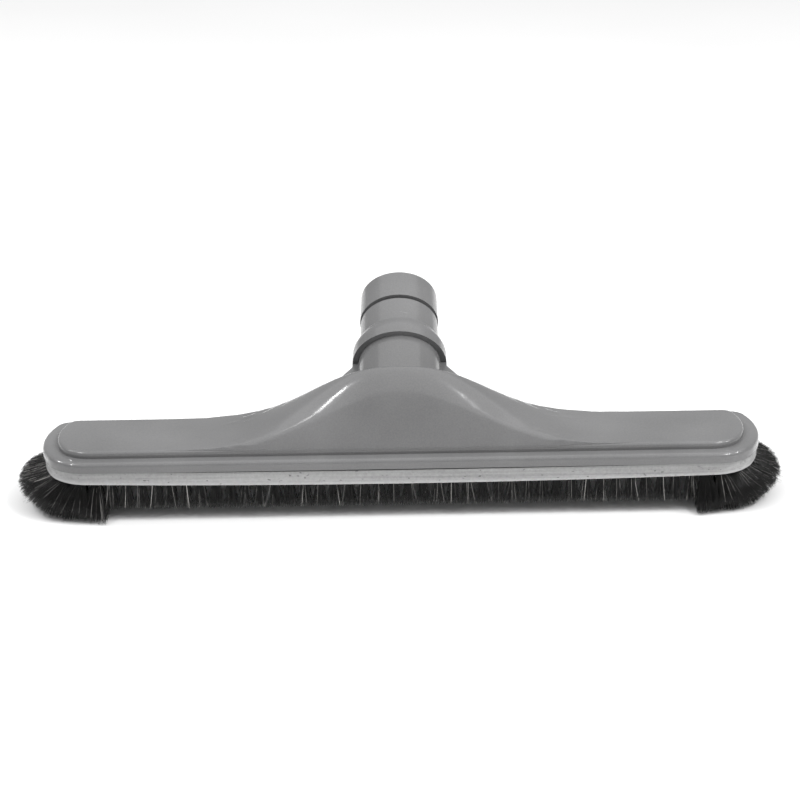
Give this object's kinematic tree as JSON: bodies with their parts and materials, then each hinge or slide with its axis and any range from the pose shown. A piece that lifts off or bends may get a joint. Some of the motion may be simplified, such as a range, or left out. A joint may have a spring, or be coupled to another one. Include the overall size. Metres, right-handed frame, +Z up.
{
  "type": "vacuum hard floor brush head",
  "caption": "Wide brush head for a vacuum wand: low bar housing rising to a central hump, leaning swivel neck socket, and a ring of flared bristles with a shorter front row.",
  "frame": {"origin": "centre of the wand socket where its straight wall starts, 0.8 mm inside the mouth", "axes": "+X along the brush, +Y back towards the wand, +Z up; the neck leans back 25 degrees above the floor"},
  "size_m": [0.3776, 0.1201, 0.0936],
  "materials": {
    "housing_plastic": "satin moulded grey plastic",
    "neck_plastic": "satin moulded grey plastic, slightly lighter",
    "block_plastic": "machined light grey plastic with fine lengthwise streaks",
    "horsehair": "black horsehair with single grey hairs",
    "fixing_steel": "zinc plated",
    "ring_steel": "spring steel",
    "seal_rubber": "soft black rubber"
  },
  "bodies": {
    "head": {"housing_shell": "housing_plastic", "brush_block": "block_plastic", "block_screws": "fixing_steel", "tuft_staples": "fixing_steel", "bristles_front": "horsehair", "bristles_rear": "horsehair", "bristles_left": "horsehair", "bristles_right": "horsehair", "retaining_ring": "ring_steel", "neck_seal": "seal_rubber"},
    "neck": {"swivel_collar": "neck_plastic", "wand_socket": "neck_plastic"}
  },
  "joints": [
    {"name": "neck_swivel", "type": "hinge", "parent": "head", "child": "neck", "pos_m": [0, 0, 0], "axis": [0, 0.9063, 0.4226], "continuous": true}
  ]
}
